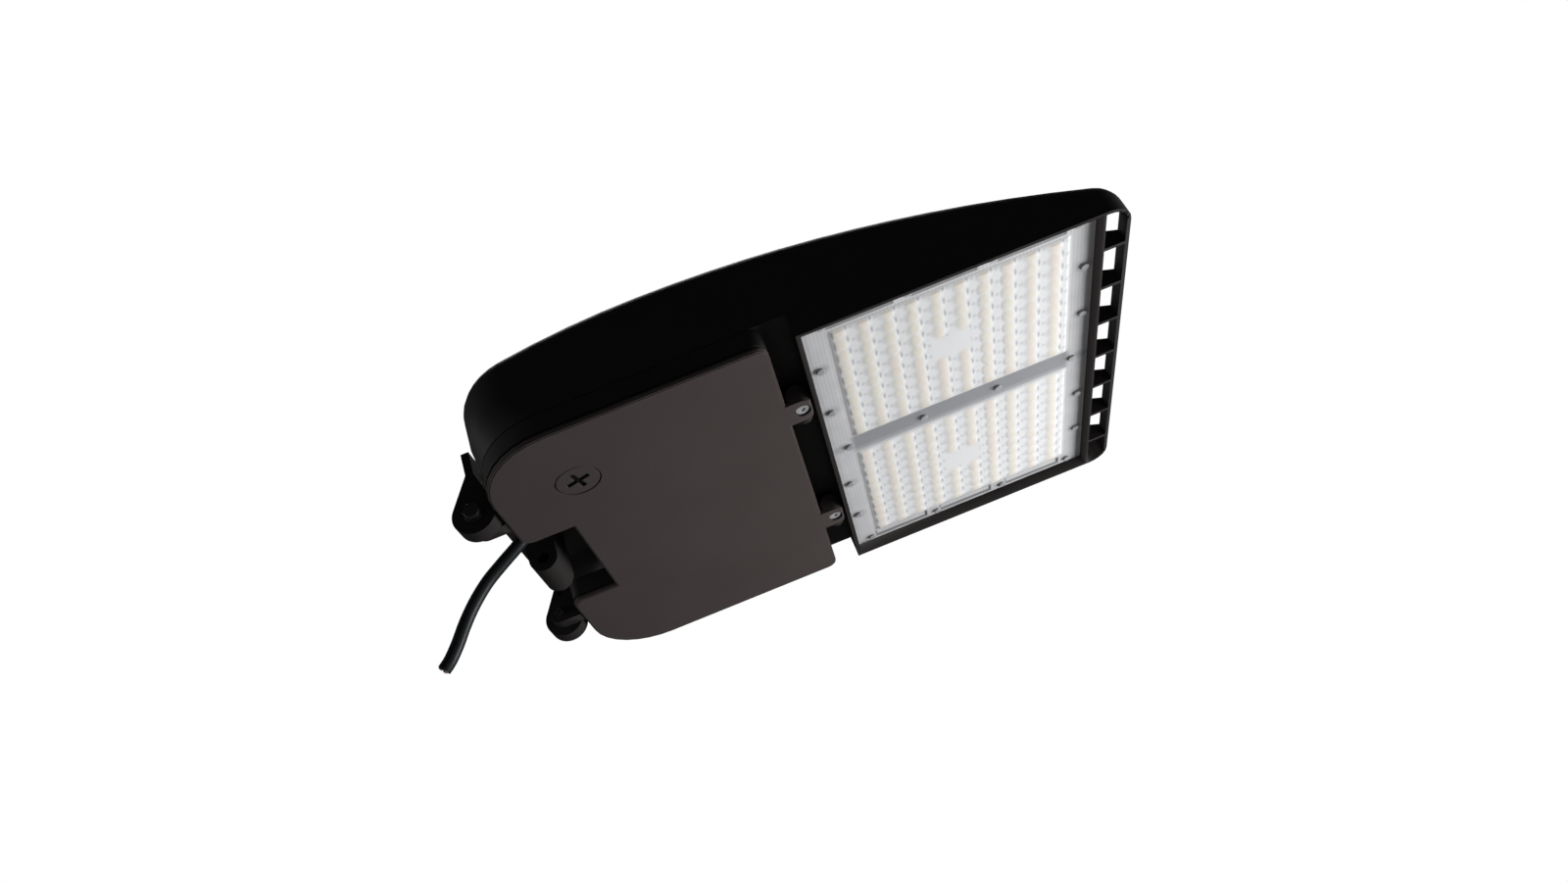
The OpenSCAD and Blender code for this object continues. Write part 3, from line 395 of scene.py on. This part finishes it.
# %% Gear behind the cover
mill_aluminium = finish("mill_aluminium", (0.62, 0.63, 0.64), (0.72, 0.73, 0.74), 0.38, 0.4, 0.1,
                        metal=1.0)
driver_case = finish("driver_case", (0.46, 0.47, 0.48), (0.54, 0.55, 0.56), 0.42, 0.6, 0.1, metal=0.3)
dark_plastic = finish("dark_plastic", (0.018, 0.018, 0.019), (0.028, 0.028, 0.029), 0.5, 0.6, 0.15,
                      shine=0.4)
blue_plastic = finish("blue_plastic", (0.05, 0.08, 0.2), (0.08, 0.12, 0.27), 0.45, 0.6, 0.1)
cream_plastic = finish("cream_plastic", (0.66, 0.63, 0.55), (0.74, 0.71, 0.63), 0.45, 0.6, 0.1)
lead_jacket = finish("lead_jacket", (0.38, 0.03, 0.025), (0.48, 0.045, 0.035), 0.4, 0.6, 0.1)
gear = [dressed("gear_tray", mill_aluminium, 0.3),
        dressed("driver", driver_case, 1.2),
        dressed("driver_end_caps", dark_plastic, 0.8),
        dressed("surge_protector", blue_plastic, 1.0),
        dressed("terminal_block", cream_plastic, 0.6),
        dressed("dc_lead", lead_jacket, 0)]
print("gear pieces:", len(gear))

# %% [markdown]
# The strain relief grips the cord in the rear notch, which lies in shade. Its plastic is painted
# darker than that of the pieces behind the cover, as painted shade, so it has a finish of its own.

# %% Strain relief
# Painted shade: this plastic is darker than the other dark plastic, for the shade in the notch.
shaded_black_plastic = finish("shaded_black_plastic", (0.009, 0.009, 0.0095), (0.014, 0.014, 0.0145), 0.45, 0.6, 0.15,
                       shine=0.2)
strain_relief = dressed("strain_relief", shaded_black_plastic, 0.4)
print("strain relief box:", [round(v, 4) for v in strain_relief.dimensions])

# %% [markdown]
# The two LED boards are coated in a glossy white that throws the light back through the lens. Each
# has a small white connector. Their solid parts have the right shape and only want a finish.

# %% LED boards
board_white = finish("board_white", (0.84, 0.85, 0.86), (0.90, 0.91, 0.92), 0.4, 0.8, 0.05)
white_plastic = finish("white_plastic", (0.70, 0.70, 0.68), (0.78, 0.78, 0.76), 0.45, 0.6, 0.08)
boards = [dressed("led_board_near", board_white, 0.2),
          dressed("led_board_far", board_white, 0.2),
          dressed("board_connectors", white_plastic, 0.2)]
print("boards and connectors:", len(boards))

# %% [markdown]
# Each LED is a small square package with a yellow field in a white frame. Modelling one and
# copying it two hundred times would make many objects. Instead the solid LEDs of a board are taken
# as one mesh, and every lower face is inset, so that field and frame can have their own finishes.

# %% LED packages
phosphor = finish("phosphor", (0.92, 0.70, 0.34), (0.97, 0.78, 0.42), 0.5, 0.4, 0.1)
package_rim = 0.45 * mm
phosphor_depth = 0.12 * mm

def led_packages(node):
    source = nodes[node]
    shape = bmesh.new()
    shape.from_mesh(source.data)
    bmesh.ops.remove_doubles(shape, verts=shape.verts, dist=weld_distance)
    bmesh.ops.dissolve_limit(shape, angle_limit=math.radians(1), verts=shape.verts, edges=shape.edges)
    lower = [face for face in shape.faces if face.normal.z < -0.9]
    bmesh.ops.inset_individual(shape, faces=lower, thickness=package_rim, depth=-phosphor_depth)
    for face in lower:
        face.material_index = 1
    data = bpy.data.meshes.new(node + "_packages")
    shape.to_mesh(data)
    shape.free()
    data.materials.clear()
    data.materials.append(white_plastic)
    data.materials.append(phosphor)
    piece = bpy.data.objects.new(node + "_packages", data)
    bpy.context.scene.collection.objects.link(piece)
    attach(piece, "fixture")
    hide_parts(node)
    return len(lower)

print("LEDs:", led_packages("led_chips_near") + led_packages("led_chips_far"))

# %% [markdown]
# The lens plate is one clear moulding: a flange with the screws, two raised fields with one small
# dome over each LED, and three long sunk panels along each side. Domes could be copied onto a flat
# plate, but their edges would cross. Here each form is a height at a place, in millimetres, and the
# heights add up. The first cell reads the plate's size and names the sizes of these forms.

# %% Sizes of the lens plate
lens_low, lens_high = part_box("lens_plate")
lens_x0, lens_x1 = lens_low.x / mm, lens_high.x / mm
lens_half = lens_high.y / mm
lens_top = lens_high.z / mm
lens_middle = (lens_x0 + lens_x1) / 2
flange_z = lens_top - 2.2
field_x0, field_x1 = lens_middle - 80, lens_middle + 80
field_y0, field_y1 = 10, 133.5
field_raise, field_slope = 1.2, 2.6
panels = ((243, 287), (298, 342), (354, 400))
panel_y0, panel_y1 = 135.2, 143.8
panel_sunk, panel_slope = 0.9, 0.9
print("lens plate in mm:", round(lens_x1 - lens_x0, 1), "by", round(2 * lens_half, 1))

# %% [markdown]
# The domes stand over the LEDs, so the first LED's middle and the pitches of the rows and columns
# are needed. In the middle of each board is a blank patch without LEDs.

# %% Places of the LEDs
chip_low, chip_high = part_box("led_chips_far")
led_size = 5
led_count = 10
blank = (4, 5)
led_pitch_x, led_pitch_y = 15.8, 12.5
led_at_x = chip_low.x / mm + led_size / 2
led_at_y = field_y0 + 7
last_x = led_at_x + (led_count - 1) * led_pitch_x + led_size / 2
print("last LED ends at", round(last_x, 2), "and the solid ones at", round(chip_high.x / mm, 2))

# %% [markdown]
# A dome is half an ellipsoid, and it gets lower towards the border of its field. A step is 0
# outside two limits and 1 between them, with a slope at each.

# %% Heights of the lens plate
dome_height, dome_reach_x, dome_reach_y, dome_margin = 0.8, 5.0, 6.2, 4

def dome(x, y):
    i = round((x - led_at_x) / led_pitch_x)
    j = round((abs(y) - led_at_y) / led_pitch_y)
    if not (0 <= i < led_count and 0 <= j < led_count) or (i in blank and j in blank):
        return 0.0
    u = (x - led_at_x - i * led_pitch_x) / dome_reach_x
    v = (abs(y) - led_at_y - j * led_pitch_y) / dome_reach_y
    bulge = max(0.0, 1 - u * u - v * v) ** 0.5
    edge = min(abs(y) - field_y0, field_y1 - abs(y), x - field_x0, field_x1 - x)
    return dome_height * bulge * min(1.0, max(0.0, edge / dome_margin))

def step(value, low, high, slope):
    return max(0.0, min(1.0, (value - low) / slope)) * max(0.0, min(1.0, (high - value) / slope))

def lens_height(x, y):
    """The height of the plate's lower side, and whether the place is in a field."""
    field = step(x, field_x0, field_x1, field_slope) * step(abs(y), field_y0, field_y1, field_slope)
    beside = step(abs(y), panel_y0, panel_y1, panel_slope)
    panel = max(step(x, low, high, panel_slope) * beside for low, high in panels)
    on_top = dome(x, y) if field > 0.99 else 0.0
    return flange_z - field_raise * field + panel_sunk * panel - on_top, field > 0.5

print("heights at a dome and at the flange:", round(lens_height(led_at_x, led_at_y)[0], 2),
      round(lens_height(lens_x0 + 1, 0)[0], 2))

# %% [markdown]
# The lower side is made as a grid of points at these heights. An even grid would blur the steps, so
# some more lines lie close to each of them. The upper side is flat, so one large face closes it,
# and a wall of narrow faces joins the two.

# %% Grid of the lens plate
grid_pitch = 1.5

def grid_lines(low, high, edges):
    count = int((high - low) / grid_pitch)
    lines = {round(low + (high - low) * k / count, 3) for k in range(count + 1)}
    for place in edges:
        lines |= {round(place + part * field_slope, 3) for part in (-1, -0.5, 0, 0.5, 1)}
    return sorted(v for v in lines if low <= v <= high)

lines_x = grid_lines(lens_x0, lens_x1, [field_x0, field_x1] + [end for panel in panels for end in panel])
lines_y = grid_lines(-lens_half, lens_half,
                     [side * v for side in (-1, 1) for v in (field_y0, field_y1, panel_y0, panel_y1)])
lower, in_field = [], []
for y in lines_y:
    for x in lines_x:
        z, inside = lens_height(x, y)
        lower.append((x * mm, y * mm, z * mm))
        in_field.append(int(inside))
print("grid:", len(lines_x), "by", len(lines_y))

# %% Faces of the lens plate
wide, deep = len(lines_x), len(lines_y)
faces, looks = [], []
for row in range(deep - 1):
    for column in range(wide - 1):
        a = row * wide + column
        faces.append((a, a + wide, a + wide + 1, a + 1))
        looks.append(in_field[a])
rim = ([column for column in range(wide)]
       + [row * wide + wide - 1 for row in range(1, deep)]
       + [(deep - 1) * wide + column for column in range(wide - 2, -1, -1)]
       + [row * wide for row in range(deep - 2, 0, -1)])
first = len(lower)
points = lower + [(lower[k][0], lower[k][1], lens_top * mm) for k in rim]
for k in range(len(rim)):
    n = (k + 1) % len(rim)
    faces.append((rim[k], rim[n], first + n, first + k))
faces.append(tuple(first + k for k in range(len(rim))))
looks += [0] * (len(rim) + 1)
print("lens faces:", len(faces))

# %% [markdown]
# Clear plastic over a white board looks milky from below, since each dome gathers the white of the
# board and the light of the room. Full refraction would need many light bounces. A surface that is
# partly see-through gives the same look at once, also outside this scene.

# %% Clear plastic
def clear_plastic(name, tone_a, tone_b, alpha, rough, cloud_mm):
    material = finish(name, tone_a, tone_b, rough, 1.2, 0.04, cloud_mm=cloud_mm)
    material.node_tree.nodes["Principled BSDF"].inputs["Alpha"].default_value = alpha
    return material

lens_flange = clear_plastic("lens_flange", (0.66, 0.67, 0.69), (0.88, 0.88, 0.89), 0.6, 0.3, 16)
lens_field = clear_plastic("lens_field", (0.90, 0.915, 0.945), (0.97, 0.97, 0.965), 0.66, 0.3, 6)
print("clear finishes:", lens_flange.name, lens_field.name)

# %% [markdown]
# The domes smear each column of LEDs into a pale warm stripe, with a bead for each LED and a faint
# blush here and there. The stripes repeat with the LEDs, so they are worked out from the distance
# to the nearest LED. The blank patch has none of them.

# %% Warm stripes over the LEDs
tree, place_x, place_y, _ = place_on_part(lens_field)
across = reckon(tree, "ABSOLUTE", place_y)
blank_middle = sum(blank) / 2
patch_x = away_from(tree, place_x, (led_at_x + blank_middle * led_pitch_x) * mm)
patch_y = away_from(tree, across, (led_at_y + blank_middle * led_pitch_y) * mm)
on_patch = times(tree, fade(tree, patch_x, 12 * mm, 15 * mm), fade(tree, patch_y, 9 * mm, 12 * mm))
beside_patch = reckon(tree, "SUBTRACT", 1.0, on_patch)
column = fade(tree, away_in_pitch(tree, place_x, led_at_x, led_pitch_x), 1.2, 4.6)
stripe = times(tree, beside_patch, column)
beads = fade(tree, away_in_pitch(tree, across, led_at_y, led_pitch_y), 2.0, 6.2)
warm = times(tree, stripe, reckon(tree, "MULTIPLY_ADD", beads, 0.45, 0.35))
tint(lens_field, warm, (0.97, 0.90, 0.74))
blush_size = 24 * mm
blush_cloud = tree.nodes.new("ShaderNodeTexNoise")
blush_cloud.inputs["Scale"].default_value = 1 / blush_size
tree.links.new(tree.nodes["Texture Coordinate"].outputs["Object"], blush_cloud.inputs["Vector"])
blush = fade(tree, blush_cloud.outputs["Fac"], 0.62, 0.42)
tint(lens_field, times(tree, stripe, blush, 0.5), (0.95, 0.84, 0.79))
print("nodes in the field's finish:", len(tree.nodes))

# %% [markdown]
# Beside each stripe, small grey marks show in the domes' edges. Modelling what they mirror would be
# slow and uncertain. Each kind of mark is drawn as an ellipse that repeats with the LEDs, shifted
# from the LED's middle.

# %% Grey marks beside the stripes
def ellipse(tree, away_x, away_y, half_x, half_y):
    """0 in the middle of an ellipse and 1 at its edge."""
    x = reckon(tree, "DIVIDE", away_x, half_x)
    y = reckon(tree, "DIVIDE", away_y, half_y)
    return reckon(tree, "SQRT", reckon(tree, "ADD", times(tree, x, x), times(tree, y, y)))

marks = ({"shift": (5.0, 3), "half": (1.3, 4.6), "strength": 0.6},
         {"shift": (8.4, 1), "half": (2.2, 2.8), "strength": 0.25})
for mark in marks:
    shift_x, shift_y = mark["shift"]
    inside = ellipse(tree, away_in_pitch(tree, place_x, led_at_x + shift_x, led_pitch_x),
                     away_in_pitch(tree, across, led_at_y + shift_y, led_pitch_y), *mark["half"])
    shown = times(tree, beside_patch, fade(tree, inside, 0.2, 1.0), mark["strength"])
    tint(lens_field, shown, (0.22, 0.23, 0.26))
print("kinds of marks:", len(marks))

# %% [markdown]
# The flange is duller than the fields, and its band between the fields is the greyest. Fine streaks
# run across the rest, and at the two ends of the plate a soft grey blotch lies round each screw.

# %% Band, screws and streaks of the flange
tree, place_x, place_y, _ = place_on_part(lens_flange)
across = reckon(tree, "ABSOLUTE", place_y)
from_middle = away_from(tree, place_x, lens_middle * mm)
in_band = times(tree, fade(tree, across, (field_y0 - 1) * mm, (field_y0 + 0.5) * mm),
                fade(tree, from_middle, 78 * mm, 84 * mm))
tint(lens_flange, times(tree, in_band, 0.9), (0.34, 0.35, 0.37))
screw_line = ((lens_x1 - lens_x0) / 2 - 6) * mm
screw_pitch = lens_half / 3
from_screw = ellipse(tree, away_from(tree, from_middle, screw_line),
                     times(tree, away_in_pitch(tree, place_y, 0, screw_pitch), mm), 9 * mm, 7 * mm)
tint(lens_flange, times(tree, fade(tree, from_screw, 0.25, 1.0), 0.55), (0.30, 0.31, 0.33))
streak = fade(tree, away_in_pitch(tree, place_x, lens_x0, 2.4), 0.2, 1.0)
outside_band = reckon(tree, "SUBTRACT", 1.0, in_band)
tint(lens_flange, times(tree, outside_band, streak, 0.22), (0.45, 0.46, 0.48))
print("nodes in the flange's finish:", len(tree.nodes))

# %% [markdown]
# The wall of each sunk panel is steep and lies in shade, which is painted as a thin dark outline.
# It is drawn as the part that lies inside an outer rectangle but not inside a smaller one.

# %% Painted shade on the walls of the panels
def rectangle(tree, along, aside, half_long, half_wide, blur):
    """1 inside a rectangle and 0 outside it, with a soft edge."""
    return times(tree, fade(tree, along, half_long * mm, (half_long + blur) * mm),
                 fade(tree, aside, half_wide * mm, (half_wide + blur) * mm))

panel_middle = (panel_y0 + panel_y1) / 2
for low, high in panels:
    along = away_from(tree, place_x, (low + high) / 2 * mm)
    aside = away_from(tree, across, panel_middle * mm)
    half = (high - low) / 2
    outer = rectangle(tree, along, aside, half - 0.2, 4.2, 0.7)
    inner = rectangle(tree, along, aside, half - 2, 2.0, 0.8)
    panel_wall_shade = times(tree, outer, reckon(tree, "SUBTRACT", 1.0, inner))
    # Painted shade along the steep wall of each panel.
    tint(lens_flange, times(tree, panel_wall_shade, 0.8), (0.17, 0.17, 0.18))
print("panels on each side:", len(panels))

# %% [markdown]
# Now the points and faces become one mesh. Its faces in the fields have the field's finish and the
# others the flange's. Only edges over sixty degrees stay sharp, so the domes look round.

# %% Lens moulding
lens_data = bpy.data.meshes.new("lens_moulding")
lens_data.from_pydata(points, [], faces)
lens_data.materials.append(lens_flange)
lens_data.materials.append(lens_field)
lens_data.polygons.foreach_set("material_index", looks)
lens_data.shade_smooth()
lens_data.set_sharp_from_angle(angle=math.radians(60))
lens_moulding = bpy.data.objects.new("lens_moulding", lens_data)
bpy.context.scene.collection.objects.link(lens_moulding)
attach(lens_moulding, "fixture")
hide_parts("lens_plate")
print("lens box:", [round(v, 4) for v in lens_moulding.dimensions])

# %% [markdown]
# The photograph's light comes mostly from below and from in front of the tip, so the underside is
# bright and the near side is dark. Four soft area lamps give that: a strong one below, two weak
# ones at the rear and the front for the curved corners, and one above for views of the top.

# %% Lamps
def lamp(name, place, aim, power, size):
    data = bpy.data.lights.new(name, "AREA")
    data.energy = power
    data.shape = "RECTANGLE"
    data.size, data.size_y = size
    thing = bpy.data.objects.new(name, data)
    thing.location = place
    thing.rotation_euler = (Vector(aim) - Vector(place)).to_track_quat("-Z", "Y").to_euler()
    bpy.context.scene.collection.objects.link(thing)
    return thing

middle = (0.22, 0, 0)
lamps = [lamp("below", (0.95, 0.12, -0.5), middle, 11.2, (0.5, 0.5)),
         lamp("rear", (-1.2, -0.1, 0.15), middle, 4, (0.3, 0.4)),
         lamp("front", (1.5, 0.1, 0.1), middle, 5, (0.5, 0.5)),
         lamp("top", (0.2, 0.6, 1.4), middle, 16, (1.2, 0.8))]
print("lamps:", len(lamps))

# %% [markdown]
# The background is pure white. A white surround would light all sides alike, so it shows as white
# to the camera and through clear parts, but is dim as light and in reflections. A Light Path node
# tells these rays apart.

# %% White surround
surround_as_light, surround_as_seen = 0.04, 1.0
world = bpy.data.worlds.new("surround")
bpy.context.scene.world = world
world.use_nodes = True
tree = world.node_tree
rays = tree.nodes.new("ShaderNodeLightPath")
seen = reckon(tree, "MAXIMUM", rays.outputs["Is Camera Ray"], rays.outputs["Is Transmission Ray"])
level = tree.nodes.new("ShaderNodeMapRange")
level.inputs["To Min"].default_value = surround_as_light
level.inputs["To Max"].default_value = surround_as_seen
tree.links.new(seen, level.inputs["Value"])
tree.links.new(level.outputs["Result"], tree.nodes["Background"].inputs["Strength"])
tree.nodes["Background"].inputs["Color"].default_value = (1, 1, 1, 1)
print("surround:", surround_as_light, "as light and", surround_as_seen, "as seen")

# %% [markdown]
# A pale floor lies well below the light, outside the photograph's view. Lamps so close to it would
# leave bright pools, so what the camera sees of it is lifted by a glow that lights nothing else.

# %% Floor
floor_size, floor_z, floor_glow = 16, -1.1, 0.62
bpy.ops.mesh.primitive_plane_add(size=floor_size, location=(0.2, 0, floor_z))
floor = bpy.context.object
floor.name = "floor"
floor_paint = finish("floor_paint", (0.50, 0.50, 0.495), (0.52, 0.52, 0.515), 0.8, 5, 0.02, cloud_mm=400)
floor.data.materials.append(floor_paint)
tree = floor_paint.node_tree
shader = tree.nodes["Principled BSDF"]
rays = tree.nodes.new("ShaderNodeLightPath")
tree.links.new(times(tree, rays.outputs["Is Camera Ray"], floor_glow), shader.inputs["Emission Strength"])
shader.inputs["Emission Color"].default_value = (1, 1, 1, 1)
bpy.context.scene.view_settings.view_transform = "Standard"
print("floor at", floor_z)
